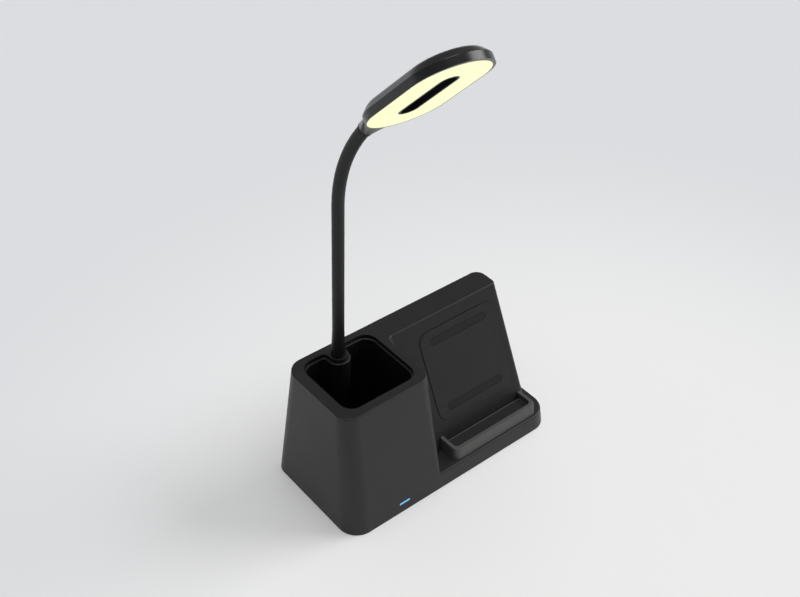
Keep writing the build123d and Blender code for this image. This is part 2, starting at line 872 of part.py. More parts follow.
def dome_cutter(run):
    """What lies past a hinge's dome: a short bar from the hinge on, less the dome's ball."""
    with BuildPart() as cutter:
        cylinder_at(neck_plane(run), 2 * neck_radius, 2 * knuckle_radius)
        with Locations(neck_plane(run).location):
            Sphere(knuckle_radius, mode=Mode.SUBTRACT)
    return cutter.part


def dish_cutter(run):
    """The ball that hollows the next piece's end, and all that lies before the hinge."""
    with BuildPart() as cutter:
        with Locations(neck_plane(run).location):
            Sphere(dish_radius)
        cylinder_at(neck_plane(run), 2 * neck_radius, -2 * knuckle_radius)
    return cutter.part


def neck_sleeve(start, end, domed, dished):
    """The soft skin between two hinges, cut by the ball of each hinge."""
    dome = dome_cutter(end)
    dish = dish_cutter(start)
    with BuildPart() as sleeve:
        neck_tube(start, end + (knuckle_radius if domed else 0), neck_radius)
        neck_tube(start, end + (knuckle_radius if domed else 0), sleeve_bore, Mode.SUBTRACT)
        if domed:
            add(dome, mode=Mode.SUBTRACT)
        if dished:
            add(dish, mode=Mode.SUBTRACT)
    return sleeve.part


def neck_link(start, end, domed, dished):
    """The stiff core between two hinges: a ball on a stalk below and a socket above."""
    dome = dome_cutter(end)
    dish = dish_cutter(start)
    with BuildPart() as link:
        neck_tube(start, end + (knuckle_radius if domed else 0), sleeve_bore)
        if domed:
            add(dome, mode=Mode.SUBTRACT)
            with Locations(neck_plane(end).location):
                Sphere(socket_radius, mode=Mode.SUBTRACT)
            with BuildSketch(neck_plane(end).offset(mouth_height)) as throat:
                Circle(socket_mouth_radius)
            with BuildSketch(neck_plane(end).offset(knuckle_radius)) as flare:
                Circle(mouth_flare)
            loft([throat.sketch, flare.sketch], mode=Mode.SUBTRACT)
        if dished:
            add(dish, mode=Mode.SUBTRACT)
            cylinder_at(neck_plane(start), stalk_radius, dish_radius + overrun)
            with Locations(neck_plane(start).location):
                Sphere(ball_radius)
    return link.part


# Neck foot: a flared grommet on the deck, with its spigot and nut below
with BuildPart() as stem_foot:
    foot_plane = Plane(origin=neck_base, x_dir=(1, 0, 0), z_dir=(0, -1, 0))
    with BuildSketch(foot_plane):
        with BuildLine():
            Line((spigot_radius, -spigot_length), (spigot_radius, 0))
            Line((spigot_radius, 0), (foot_radius, 0))
            Line((foot_radius, 0), (foot_radius, foot_brim))
            ThreePointArc(
                (foot_radius, foot_brim),
                (neck_radius + sleeve_wall / 2, foot_rise / 2),
                (neck_radius + seat_gap, foot_rise),
            )
            Line((neck_radius + seat_gap, foot_rise), (neck_radius, foot_rise))
            Line((neck_radius, foot_rise), (neck_radius, foot_brim))
            Line((neck_radius, foot_brim), (0, foot_brim))
            Line((0, foot_brim), (0, -spigot_length))
            Line((0, -spigot_length), (spigot_radius, -spigot_length))
        make_face()
    revolve(axis=Axis(neck_base, (0, 0, 1)))

with BuildPart() as stem_nut:
    nut_top = deck_under - seat_gap
    nut_place = Plane((neck_x, neck_y, nut_top - nut_height))
    cylinder_at(nut_place, nut_radius, nut_height)
    cylinder_at(nut_place, spigot_radius + seat_gap, nut_height, Mode.SUBTRACT)

# Head: its own plane lies in the lit face, local x along the head, local z out of its back
face_angle = radians(neck_bend)
head_direction = heading * sin(face_angle) + Vector(0, 0, cos(face_angle))
back_flat = Vector(0, 0, sin(face_angle)) - heading * cos(face_angle)
head_across = nod_axis * -cos(radians(head_roll)) + back_flat * sin(radians(head_roll))
face_normal = head_direction.cross(head_across)
bend_end = neck_point(neck_rise + neck_bend_radius * face_angle)
head_middle = bend_end + head_direction * (face_past_bend + head_length / 2) + face_normal * face_below_neck
head_plane = Plane(origin=head_middle, x_dir=head_direction, z_dir=face_normal * -1)


def oval(plane, grow, tip=0):
    """The head's outline: straight sides and round ends, grown all round and then at its tip."""
    with BuildSketch(plane) as outline:
        with Locations((tip / 2, 0)):
            SlotOverall(head_length + tip + 2 * grow, head_width + 2 * grow)
    return outline.sketch


def crown(grow, tip, height, side, inset, crown_radius, crease_radius):
    """A body on the head's outline: an upright side, a slope inwards and a flat back."""
    with BuildPart() as body:
        extrude(oval(head_plane, grow, tip), amount=height)
        back = body.faces().sort_by(Axis(head_middle, head_plane.z_dir))[-1]
        chamfer(back.edges(), length=inset, length2=height - side, reference=back)
        back = body.faces().sort_by(Axis(head_middle, head_plane.z_dir))[-1]
        fillet(back.edges(), crown_radius)
        if crease_radius:
            crease = head_plane.from_local_coords((0, head_width / 2 + grow, side))
            fillet(body.edges().sort_by_distance(crease)[0], crease_radius)
    return body.part


def slot_bar(plane, grow, height, mode=Mode.ADD):
    with BuildSketch(plane) as outline:
        SlotOverall(slot_length + 2 * grow, slot_width + 2 * grow)
    extrude(outline.sketch, amount=height, mode=mode)


led_board_front = diffuser_thickness + diffuser_seat + led_gap
led_board_back = led_board_front + led_board_thickness
crown_under = head_thickness - head_wall
trim_outside = -slot_trim_wall - seat_gap
trim_inside = -2 * slot_trim_wall
nose_start = mouth_run + collar_length
neck_end = mouth_run + collar_sink
head_screw_x = head_length * head_screw_reach_share
head_screw_y = (head_width + slot_width) / 4
head_screw_places = [(x, y) for x in (-head_screw_x, head_screw_x) for y in (-head_screw_y, head_screw_y)]

# The hollow's slope runs at one wall's depth under the outer slope
crown_slope = (head_thickness - head_side) / crown_inset
hollow_edge = head_side + crown_slope * (head_rim + diffuser_seat)
hollow_side = hollow_edge - head_wall * sqrt(1 + crown_slope**2)
hollow_inset = (crown_under - hollow_side) / crown_slope
hollow_round = crown_round - head_wall
head_form = crown(head_rim, head_tip, head_thickness, head_side, crown_inset, crown_round, crease_round)
head_hollow = crown(-diffuser_seat, 0, crown_under, hollow_side, hollow_inset, hollow_round, 0)

# The nose narrows the head's near end to the neck
with BuildPart() as nose_form:
    nose_wide = head_width * nose_end_width_share
    nose_end = Plane(
        origin=head_plane.from_local_coords((nose_reach - head_length / 2, 0, nose_end_height)),
        x_dir=head_across,
        z_dir=head_direction,
    )
    with BuildSketch(neck_plane(nose_start)) as nose_mouth:
        Circle(nose_mouth_radius)
    with BuildSketch(nose_end) as nose_root:
        Ellipse(nose_wide / 2, nose_end_thickness / 2)
    loft([nose_mouth.sketch, nose_root.sketch])

# Head shell: back cover with its nose, a sleeve round the slot and four bosses
with BuildPart() as head_shell:
    add(head_form)
    add(nose_form.part)
    add(head_hollow, mode=Mode.SUBTRACT)
    extrude(oval(head_plane, seat_gap), amount=diffuser_thickness + seat_gap, mode=Mode.SUBTRACT)
    slot_bar(head_plane, -seat_gap, crown_under + head_wall / 2)
    slot_bar(head_plane, -slot_trim_wall, head_thickness + overrun, Mode.SUBTRACT)
    neck_tube(mouth_run, neck_end, neck_radius + seat_gap, Mode.SUBTRACT)
    with BuildSketch(head_plane.offset(led_board_back + seat_gap)):
        with Locations(*head_screw_places):
            Circle(head_boss_radius)
    extrude(amount=crown_under - led_board_back)
    with BuildSketch(head_plane.offset(led_board_back)):
        with Locations(*head_screw_places):
            Circle(head_screw_radius)
    extrude(amount=head_screw_length - led_board_thickness, mode=Mode.SUBTRACT)

with BuildPart() as diffuser:
    extrude(oval(head_plane, 0), amount=diffuser_thickness)
    slot_bar(head_plane, 0, diffuser_thickness, Mode.SUBTRACT)

with BuildPart() as slot_trim:
    slot_bar(head_plane, trim_outside, head_thickness)
    slot_bar(head_plane.offset(head_thickness), trim_outside + slot_trim_wall + slot_trim_lip, slot_trim_lip)
    slot_bar(head_plane, trim_inside, head_thickness + slot_trim_lip, Mode.SUBTRACT)

with BuildPart() as led_board:
    extrude(oval(head_plane.offset(led_board_front), -led_board_margin), amount=led_board_thickness)
    slot_bar(head_plane.offset(led_board_front), fit_gap, led_board_thickness, Mode.SUBTRACT)
    with BuildSketch(head_plane.offset(led_board_front)):
        with Locations(*head_screw_places):
            Circle(head_screw_radius + fit_gap)
    extrude(amount=led_board_thickness, mode=Mode.SUBTRACT)

led_ring_x = (head_length + slot_length) / 4
led_ring_y = (head_width + slot_width) / 4
led_turns = [2 * pi * (index + 0.5) / led_count for index in range(led_count)]
with BuildPart() as leds:
    with BuildSketch(head_plane.offset(led_board_front - led_height)):
        with Locations(*[(led_ring_x * cos(turn), led_ring_y * sin(turn)) for turn in led_turns]):
            Rectangle(led_length, led_width)
    extrude(amount=led_height)

with BuildPart() as head_screws:
    with BuildSketch(head_plane.offset(led_board_front - head_screw_head_height)):
        with Locations(*head_screw_places):
            Circle(head_screw_head_radius)
    extrude(amount=head_screw_head_height)
    with BuildSketch(head_plane.offset(led_board_front)):
        with Locations(*head_screw_places):
            Circle(head_screw_radius)
    extrude(amount=head_screw_length)

with BuildPart() as neck_collar:
    neck_tube(mouth_run, nose_start, nose_mouth_radius)
    neck_tube(mouth_run, nose_start, neck_radius + seat_gap, Mode.SUBTRACT)

# One STEP file for each piece
os.makedirs("parts", exist_ok=True)
pieces = {
    "housing": housing,
    "pen_cup": pen_cup_piece,
    "bottom_plate": bottom_plate,
    "rubber_feet": rubber_feet,
    "plate_screws": plate_screws,
    "ballast": ballast,
    "phone_tray": phone_tray,
    "tray_pad": tray_pad,
    "backrest_panel": backrest_panel,
    "backrest_pads": backrest_pads,
    "charging_coil": charging_coil,
    "ferrite": ferrite,
    "coil_frame": coil_frame,
    "coil_screws": coil_screws,
    "light_bar": light_bar,
    "light_bar_led": light_bar_led,
    "main_board": main_board,
    "board_screws": board_screws,
    "board_parts": board_parts,
    "usb_socket": usb_socket,
    "charger_board": charger_board,
    "touch_plate": touch_plate,
    "stem_foot": stem_foot,
    "stem_nut": stem_nut,
    "neck_collar": neck_collar,
    "head_shell": head_shell,
    "diffuser": diffuser,
    "slot_trim": slot_trim,
    "led_board": led_board,
    "leds": leds,
    "head_screws": head_screws,
}
for label, builder in pieces.items():
    save(builder.part, label)

# The neck: a fixed root, seven links between hinges and a last stub in the head
neck_stops = [foot_brim] + hinge_runs + [neck_end]
for index in range(neck_hinges + 1):
    start, end = neck_stops[index], neck_stops[index + 1]
    domed = index < neck_hinges
    dished = index > 0
    save(neck_sleeve(start, end, domed, dished), f"neck_sleeve_{index}")
    save(neck_link(start, end, domed, dished), f"neck_link_{index}")

for index, run in enumerate(hinge_runs):
    place = neck_point(run)
    bend = degrees(neck_angle(run))
    print(f"hinge {index + 1} at {place.X:.3f} {place.Y:.3f} {place.Z:.3f}, bend {bend:.3f}")
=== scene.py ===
# %% [markdown]
# # A black desk lamp with a pen cup and a leaning stand
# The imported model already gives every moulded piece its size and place. This lesson is about
# looks: a smooth skin over the jointed neck, and a finish made of nodes for every piece.
# Everything is in metres. +X points right, +Y to the rear and +Z up from the table.

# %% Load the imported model
import bpy
import json
from math import cos, radians, sin
from mathutils import Matrix, Vector


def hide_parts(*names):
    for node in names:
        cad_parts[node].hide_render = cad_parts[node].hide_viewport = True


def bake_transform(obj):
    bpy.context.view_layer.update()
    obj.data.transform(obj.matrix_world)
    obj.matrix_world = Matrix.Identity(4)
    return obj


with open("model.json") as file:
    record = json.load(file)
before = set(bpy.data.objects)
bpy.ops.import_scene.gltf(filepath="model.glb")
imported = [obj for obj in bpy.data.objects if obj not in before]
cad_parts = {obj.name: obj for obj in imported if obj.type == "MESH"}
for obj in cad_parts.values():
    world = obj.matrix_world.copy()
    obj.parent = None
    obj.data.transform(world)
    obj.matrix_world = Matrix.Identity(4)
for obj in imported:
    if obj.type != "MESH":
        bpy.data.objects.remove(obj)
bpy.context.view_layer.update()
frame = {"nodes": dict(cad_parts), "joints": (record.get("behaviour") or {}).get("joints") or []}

nodes = frame["nodes"]
hinges = frame["joints"]
MM = 0.001
print("pieces loaded:", len(nodes), "hinges:", len(hinges))

# %% [markdown]
# The camera stands in front of the lamp, to the left and above, and looks down on it. Its place
# and angles come from straight edges of the base whose real sizes are known. A camera's matrix
# holds the picture's right, up and back directions as its columns, so these are worked out first.

# %% Camera
camera_place = Vector((-0.36343, -0.39508, 0.56182))
camera_azimuth = -131.06
camera_elevation = 39.26
camera_roll = radians(2.375)
focal_pixels = 1148.2
picture_width_pixels = 800
sensor_width_mm = 36.0


def direction_to(azimuth, elevation):
    """A unit vector. The angles are in degrees, round from +X and up from the table."""
    flat = cos(radians(elevation))
    around = radians(azimuth)
    return Vector((cos(around) * flat, sin(around) * flat, sin(radians(elevation))))


back = direction_to(camera_azimuth, camera_elevation)
level_right = (-back).cross(Vector((0, 0, 1))).normalized()
level_up = level_right.cross(-back)
right = level_right * cos(camera_roll) + level_up * sin(camera_roll)
up = level_up * cos(camera_roll) - level_right * sin(camera_roll)

camera_data = bpy.data.cameras.new("camera")
camera_data.sensor_width = sensor_width_mm
camera_data.lens = focal_pixels * sensor_width_mm / picture_width_pixels
camera = bpy.data.objects.new("camera", camera_data)
bpy.context.scene.collection.objects.link(camera)
turn = Matrix((right, up, back)).transposed().to_4x4()
camera.matrix_world = Matrix.Translation(camera_place) @ turn
bpy.context.scene.camera = camera
print("lens", round(camera_data.lens, 2), "mm")

# %% [markdown]
# Every finish here is a small tree of nodes, and the same few steps come back in each: a cloudy
# noise, a mix of two colours and a span of roughness. Each step is a short function, so that a
# finish reads like a recipe. All patterns read Object coordinates, which keeps them fixed to
# their piece when the neck moves. A mix node has sockets for numbers, vectors and colours, and
# only those for colours are used here, so their places have names.

# %% Helpers for patterns
colour_places = (6, 7)
colour_result = 2


def feed(tree, value, socket):
    """Links a value that comes from another node, or writes a plain number, place or colour."""
    if isinstance(value, bpy.types.NodeSocket):
        tree.links.new(value, socket)
    elif socket.type == "RGBA":
        socket.default_value = (*value, 1)
    else:
        socket.default_value = value


def object_place(tree):
    """The place of a point on its own piece."""
    return tree.nodes.new("ShaderNodeTexCoord").outputs["Object"]


def cloudy_noise(tree, scale, detail=2.0, squeeze=None):
    """A cloudy share from 0 to 1. The scale counts its clouds in a metre, and a squeeze below 1
    draws them out along an axis."""
    place = object_place(tree)
    if squeeze:
        mapping = tree.nodes.new("ShaderNodeMapping")
        feed(tree, squeeze, mapping.inputs["Scale"])
        feed(tree, place, mapping.inputs["Vector"])
        place = mapping.outputs["Vector"]
    noise = tree.nodes.new("ShaderNodeTexNoise")
    feed(tree, place, noise.inputs["Vector"])
    feed(tree, scale, noise.inputs["Scale"])
    feed(tree, detail, noise.inputs["Detail"])
    return noise.outputs["Fac"]


def stretch(tree, share, low, high):
    """Maps a share from 0 to 1 on to the span from low to high."""
    span = tree.nodes.new("ShaderNodeMapRange")
    feed(tree, share, span.inputs["Value"])
    feed(tree, low, span.inputs["To Min"])
    feed(tree, high, span.inputs["To Max"])
    return span.outputs["Result"]


def mix_colour(tree, share, first, second):
    """The first colour where the share is 0, and the second where it is 1."""
    mix = tree.nodes.new("ShaderNodeMix")
    mix.data_type = "RGBA"
    feed(tree, share, mix.inputs["Factor"])
    for place, colour in zip(colour_places, (first, second)):
        feed(tree, colour, mix.inputs[place])
    return mix.outputs[colour_result]


print("helpers for patterns ready")

# %% [markdown]
# Two effects come back in many finishes. Matt plastic has a fine skin, left by a spark-eroded
# mould, and large areas of it differ a little in tone. Metal has fine lines in one direction.
# Each effect is a node group, made once. A material places the group and gives it two colours,
# a scale and the two ends of its roughness.

# %% Node groups for moulded grain and for scratches
broad_cloud_scale = 38.0
broad_cloud_detail = 3.0
scratch_detail = 4.0
scratch_squeeze = (0.06, 1.0, 1.0)


def start_group(name):
    """An empty group with the sockets that all finishes share, and its two end nodes."""
    group = bpy.data.node_groups.new(name, "ShaderNodeTree")
    sockets = (
        ("INPUT", "NodeSocketColor", ("Dark", "Light")),
        ("INPUT", "NodeSocketFloat", ("Scale", "Smoothest", "Roughest")),
        ("OUTPUT", "NodeSocketColor", ("Colour",)),
        ("OUTPUT", "NodeSocketFloat", ("Roughness", "Height")),
    )
    for side, kind, labels in sockets:
        for label in labels:
            group.interface.new_socket(name=label, in_out=side, socket_type=kind)
    return group, group.nodes.new("NodeGroupInput").outputs, group.nodes.new("NodeGroupOutput").inputs


def end_group(group, given, result, share, height):
    """Lets a share choose the tone and the roughness, and hands on the height."""
    feed(group, mix_colour(group, share, given["Dark"], given["Light"]), result["Colour"])
    feed(group, stretch(group, share, given["Smoothest"], given["Roughest"]), result["Roughness"])
    feed(group, height, result["Height"])


grain_group, given, result = start_group("moulded grain")
fine_grain = cloudy_noise(grain_group, given["Scale"])
broad_cloud = cloudy_noise(grain_group, broad_cloud_scale, broad_cloud_detail)
end_group(grain_group, given, result, broad_cloud, fine_grain)

scratch_group, given, result = start_group("drawn scratches")
scratches = cloudy_noise(scratch_group, given["Scale"], scratch_detail, scratch_squeeze)
end_group(scratch_group, given, result, scratches, scratches)
print("groups made:", grain_group.name, "and", scratch_group.name)

# %% [markdown]
# A finish takes three things from its group: a colour, a roughness and a height. The height
# only shades the surface, as a bump, because a real grain of a few hundredths of a millimetre
# is too fine for a mesh. The shader stays in the material itself, with its own constants.

# %% A finish from a node group
full_strength = 1.0


def start_material(name):
    """A material with its node tree and its shader, ready for nodes."""
    material = bpy.data.materials.new(name)
    material.use_nodes = True
    return material, material.node_tree, material.node_tree.nodes["Principled BSDF"]


def add_bump(tree, shader, height, depth):
    """Shades the surface as if the height from 0 to 1 were that deep."""
    bump = tree.nodes.new("ShaderNodeBump")
    feed(tree, full_strength, bump.inputs["Strength"])
    feed(tree, depth, bump.inputs["Distance"])
    feed(tree, height, bump.inputs["Height"])
    feed(tree, bump.outputs["Normal"], shader.inputs["Normal"])


def finish(name, group, dark, light, scale, smoothest, roughest, depth, **constants):
    """A material that places a group; its constants are sockets of the shader."""
    material, tree, shader = start_material(name)
    skin = tree.nodes.new("ShaderNodeGroup")
    skin.node_tree = group
    values = (dark, light, scale, smoothest, roughest)
    for label, value in zip(("Dark", "Light", "Scale", "Smoothest", "Roughest"), values):
        feed(tree, value, skin.inputs[label])
    feed(tree, skin.outputs["Colour"], shader.inputs["Base Color"])
    feed(tree, skin.outputs["Roughness"], shader.inputs["Roughness"])
    add_bump(tree, shader, skin.outputs["Height"], depth)
    for label, value in constants.items():
        feed(tree, value, shader.inputs[label.replace("_", " ")])
    return material


print("a finish can now be made from either group")

# %% [markdown]
# The base is matt black plastic. The cup's liner is a little darker and smoother, the tray a
# soft grey, and the head satin with a shallow grain. The lining of the head's slot is the
# deepest black. The neck, the feet and the pads are soft rubber, and the neck's collar is a
# duller one. They differ in numbers alone, so one function makes them all. The specular level
# stays a constant of the shader, because it doesn't change over a surface.

# %% Plastic and rubber finishes
mould_depth = 0.02 * MM
satin_depth = 0.006 * MM
rubber_depth = 0.03 * MM
matt_black = finish(
    "matt black plastic", grain_group, dark=(0.007, 0.007, 0.007), light=(0.010, 0.010, 0.009),
    scale=2600, smoothest=0.40, roughest=0.50, depth=mould_depth, Specular_IOR_Level=0.44,
)
tray_grey = finish(
    "soft tray plastic", grain_group, dark=(0.062, 0.062, 0.060), light=(0.074, 0.074, 0.071),
    scale=2600, smoothest=0.42, roughest=0.50, depth=mould_depth,
)
liner_black = finish(
    "liner black plastic", grain_group, dark=(0.006, 0.006, 0.006), light=(0.009, 0.009, 0.008),
    scale=2200, smoothest=0.36, roughest=0.46, depth=mould_depth,
)
satin_black = finish(
    "satin black plastic", grain_group, dark=(0.006, 0.006, 0.006), light=(0.009, 0.009, 0.009),
    scale=3000, smoothest=0.24, roughest=0.31, depth=satin_depth, Specular_IOR_Level=0.53,
)
slot_black = finish(
    "deep black plastic", grain_group, dark=(0.002, 0.002, 0.002), light=(0.004, 0.004, 0.004),
    scale=2200, smoothest=0.60, roughest=0.72, depth=mould_depth, Specular_IOR_Level=0.10,
)
soft_rubber = finish(
    "soft black rubber", grain_group, dark=(0.004, 0.004, 0.004), light=(0.007, 0.007, 0.007),
    scale=1500, smoothest=0.44, roughest=0.56, depth=rubber_depth, Specular_IOR_Level=0.38,
)
collar_rubber = finish(
    "collar rubber", grain_group, dark=(0.008, 0.008, 0.008), light=(0.012, 0.012, 0.012),
    scale=1500, smoothest=0.56, roughest=0.66, depth=rubber_depth, Specular_IOR_Level=0.16,
)
black_part = finish(
    "black component body", grain_group, dark=(0.018, 0.018, 0.019), light=(0.030, 0.030, 0.031),
    scale=3200, smoothest=0.40, roughest=0.60, depth=mould_depth,
)
print("moulded finishes made, from", matt_black.name, "to", black_part.name)

# %% [markdown]
# The metal pieces sit inside, and still get their real finishes: plated screws and links, a
# rolled ballast plate and the enamelled winding of the charging coil. The dull sintered disc
# behind the coil has the same fine lines and is no metal, so it goes without Metallic.

# %% Metal finishes
scratch_depth = 0.01 * MM
plated_steel = finish(
    "plated steel", scratch_group, dark=(0.50, 0.50, 0.51), light=(0.66, 0.66, 0.67),
    scale=900, smoothest=0.24, roughest=0.40, depth=scratch_depth, Metallic=1.0,
)
enamelled_copper = finish(
    "enamelled copper", scratch_group, dark=(0.60, 0.29, 0.15), light=(0.78, 0.42, 0.24),
    scale=1600, smoothest=0.22, roughest=0.34, depth=scratch_depth, Metallic=1.0,
)
sintered_ferrite = finish(
    "sintered ferrite", scratch_group, dark=(0.070, 0.070, 0.075), light=(0.120, 0.120, 0.125),
    scale=700, smoothest=0.55, roughest=0.75, depth=scratch_depth,
)
print("finishes with fine lines made, from", plated_steel.name, "to", sintered_ferrite.name)

# %% [markdown]
# A circuit board is dark green with paler lines where its coating lies over copper. A brick
# pattern stands for them, because such lines are straight and square. The board that carries
# the head's lights is white, to throw their light back. Each light is a drop of yellow resin,
# grainy with phosphor.

# %% Board and light source finishes
track_share = 0.06
track_depth = 0.03 * MM
coating_cloud_scale = 300
resin_grain_scale = 1200
resin_amber = (0.85, 0.62, 0.16)
resin_yellow = (0.95, 0.78, 0.30)


def roughen(tree, shader, share, smoothest, roughest):
    """Lets a share choose the roughness between its two ends."""
    feed(tree, stretch(tree, share, smoothest, roughest), shader.inputs["Roughness"])


def track_board(name, coating, over_copper, track_spacing):
    """A coated circuit board with square tracks."""
    material, tree, shader = start_material(name)
    tracks = tree.nodes.new("ShaderNodeTexBrick")
    feed(tree, object_place(tree), tracks.inputs["Vector"])
    feed(tree, 1 / track_spacing, tracks.inputs["Scale"])
    feed(tree, track_share, tracks.inputs["Mortar Size"])
    feed(tree, coating, tracks.inputs["Color1"])
    feed(tree, coating, tracks.inputs["Color2"])
    feed(tree, over_copper, tracks.inputs["Mortar"])
    feed(tree, tracks.outputs["Color"], shader.inputs["Base Color"])
    roughen(tree, shader, cloudy_noise(tree, coating_cloud_scale), smoothest=0.25, roughest=0.40)
    add_bump(tree, shader, tracks.outputs["Fac"], track_depth)
    return material


green_board = track_board("green circuit board", (0.012, 0.11, 0.035), (0.02, 0.19, 0.06), 6 * MM)
white_board = track_board("white light board", (0.72, 0.72, 0.70), (0.80, 0.80, 0.78), 9 * MM)

phosphor, tree, shader = start_material("phosphor resin")
resin_grain = cloudy_noise(tree, resin_grain_scale)
feed(tree, mix_colour(tree, resin_grain, resin_amber, resin_yellow), shader.inputs["Base Color"])
roughen(tree, shader, resin_grain, smoothest=0.15, roughest=0.30)
print("board finishes made:", green_board.name, white_board.name, phosphor.name)

# %% [markdown]
# The lit face is a milky sheet in front of many small lights, and it glows almost evenly in a
# warm pale yellow. A real one is far brighter than paper, and a camera would show it as a white
# patch. Here the glow is Emission Color on a plain shader, at a strength under 1, so the face
# keeps its colour and still reads as lit.

# %% Lit face
face_cloud_scale = 60
face_strength = 0.95
face_shade = (0.97, 0.97, 0.58)
face_glow = (0.98, 0.99, 0.60)
face_unlit = (0.05, 0.05, 0.04)
lit_face, tree, shader = start_material("lit diffuser")
face_cloud = cloudy_noise(tree, face_cloud_scale)
feed(tree, mix_colour(tree, face_cloud, face_shade, face_glow), shader.inputs["Emission Color"])
feed(tree, face_strength, shader.inputs["Emission Strength"])
feed(tree, face_unlit, shader.inputs["Base Color"])
roughen(tree, shader, face_cloud, smoothest=0.45, roughest=0.55)
print("lit face made:", lit_face.name)

# %% [markdown]
# The small blue bar low on the front is lit from behind. It is palest along a core, which lies
# a little above its middle, and fades to a deep blue. The bar lies level, so the height above
# the table tells how far a point is from the core, and no picture or extra piece is needed.

# %% Light bar
bar_core_height = 7.1 * MM
bar_fade_end = 0.8 * MM
bar_core_share = 0.3
bar_cloud_scale = 500
bar_strength = 0.9
bar_core_blue = (0.20, 0.62, 0.98)
bar_edge_blue = (0.01, 0.10, 0.30)
bar_unlit = (0.02, 0.06, 0.15)


def fade(tree, value, start, end):
    """A share that climbs softly from 0 at the start to 1 at the end."""
    step = tree.nodes.new("ShaderNodeMapRange")
    step.interpolation_type = "SMOOTHSTEP"
    feed(tree, value, step.inputs["Value"])
    feed(tree, start, step.inputs["From Min"])
    feed(tree, end, step.inputs["From Max"])
    return step.outputs["Result"]


def calculate(tree, operation, first, second=0.0):
    """A sum with one or two values."""
    result = tree.nodes.new("ShaderNodeMath")
    result.operation = operation
    feed(tree, first, result.inputs[0])
    feed(tree, second, result.inputs[1])
    return result.outputs[0]


blue_bar, tree, shader = start_material("blue light bar")
axes = tree.nodes.new("ShaderNodeSeparateXYZ")
feed(tree, object_place(tree), axes.inputs["Vector"])
above_core = calculate(tree, "SUBTRACT", axes.outputs["Z"], bar_core_height)
off_core = calculate(tree, "ABSOLUTE", above_core)
bar_edge = fade(tree, off_core, bar_fade_end * bar_core_share, bar_fade_end)
feed(tree, mix_colour(tree, bar_edge, bar_core_blue, bar_edge_blue), shader.inputs["Emission Color"])
feed(tree, bar_strength, shader.inputs["Emission Strength"])
feed(tree, bar_unlit, shader.inputs["Base Color"])
roughen(tree, shader, cloudy_noise(tree, bar_cloud_scale), smoothest=0.30, roughest=0.40)
print("light bar made:", blue_bar.name)

# %% [markdown]
# Every loaded piece now gets its finish by name. Only its list of materials changes. The loaded
# mesh has its final shape already, so it stays as it is.

# %% Give each loaded piece its finish
neck_sleeves = [name for name in nodes if name.startswith("neck_sleeve")]
neck_links = [name for name in nodes if name.startswith("neck_link")]
screws = ["plate_screws", "coil_screws", "board_screws", "head_screws"]
finishes = {
    matt_black: ["housing"],
    tray_grey: ["phone_tray"],
    liner_black: ["pen_cup", "bottom_plate", "backrest_panel", "coil_frame"],
    satin_black: ["head_shell"],
    slot_black: ["slot_trim"],
    soft_rubber: ["rubber_feet", "tray_pad", "backrest_pads", "stem_foot"] + neck_sleeves,
    collar_rubber: ["neck_collar"],
    black_part: ["board_parts"],
    plated_steel: ["ballast", "usb_socket", "stem_nut"] + screws + neck_links,
    enamelled_copper: ["charging_coil", "touch_plate"],
    sintered_ferrite: ["ferrite"],
    green_board: ["main_board", "charger_board"],
    white_board: ["led_board"],
    phosphor: ["leds", "light_bar_led"],
    lit_face: ["diffuser"],
    blue_bar: ["light_bar"],
}
for material, names in finishes.items():
    for name in names:
        nodes[name].data.materials.clear()
        nodes[name].data.materials.append(material)
dressed = sum(len(names) for names in finishes.values())
print("finishes given to", dressed, "of", len(nodes), "pieces")

# %% [markdown]
# The real neck is one soft sleeve over a bendable core. It rises straight from its foot and then
# leans forward in a round bend. A run is a length along its centre line, from the deck up. The
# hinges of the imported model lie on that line: the first nods about the neck's sideways axis, and
# the second sways about its forward axis. So the line is worked out from their places and axes,
# and the last print shows how well all the hinges agree with it.

# %% Centre line of the neck
neck_rise = 108.7 * MM
neck_bend_radius = 96.6 * MM
hinge_places = [Vector(hinge["pos_m"]) for hinge in hinges]
deck_height = max(corner[2] for corner in nodes["housing"].bound_box)
neck_base = Vector((*hinge_places[0].xy, deck_height))
sideways = Vector(hinges[0]["axis"]).normalized()
forward = Vector(hinges[1]["axis"]).normalized()


def neck_angle(run):
    """How far the neck leans forward at a run."""
    return max(0.0, run - neck_rise) / neck_bend_radius


def neck_point(run):
    """The place of the centre line at a run."""
    angle = neck_angle(run)
    reach = forward * neck_bend_radius * (1 - cos(angle))
    return neck_base + reach + Vector((0, 0, min(run, neck_rise) + neck_bend_radius * sin(angle)))


def neck_direction(run):
    """The direction of the centre line at a run."""
    angle = neck_angle(run)
    return forward * sin(angle) + Vector((0, 0, cos(angle)))


first_run = hinge_places[0].z - deck_height
hinge_step = hinge_places[1].z - hinge_places[0].z
hinge_runs = [first_run + hinge_step * index for index in range(len(hinges))]
misses = [(neck_point(run) - place).length for run, place in zip(hinge_runs, hinge_places)]
print("largest miss of the centre line at a hinge:", round(max(misses) / MM, 4), "mm")

# %% [markdown]
# The skin starts as one long tube: a ring that rises in short steps by extruding, and then spins
# round the middle of the bend. Short steps matter, because each ring of points can only bend as
# a whole. The print compares the middle of the last ring with the place where it should be.

# %% Sweep the whole skin
neck_radius = 3.7 * MM
skin_start = 1.5 * MM
skin_end = 178.3 * MM
ring_points = 32
straight_steps = 70
bend_steps = 46


def only(piece):
    """Deselects everything, then selects one piece and makes it active."""
    bpy.ops.object.select_all(action="DESELECT")
    piece.select_set(True)
    bpy.context.view_layer.objects.active = piece


def open_whole(piece):
    """Opens one piece in edit mode with all of it selected."""
    only(piece)
    bpy.ops.object.mode_set(mode="EDIT")
    bpy.ops.mesh.select_all(action="SELECT")


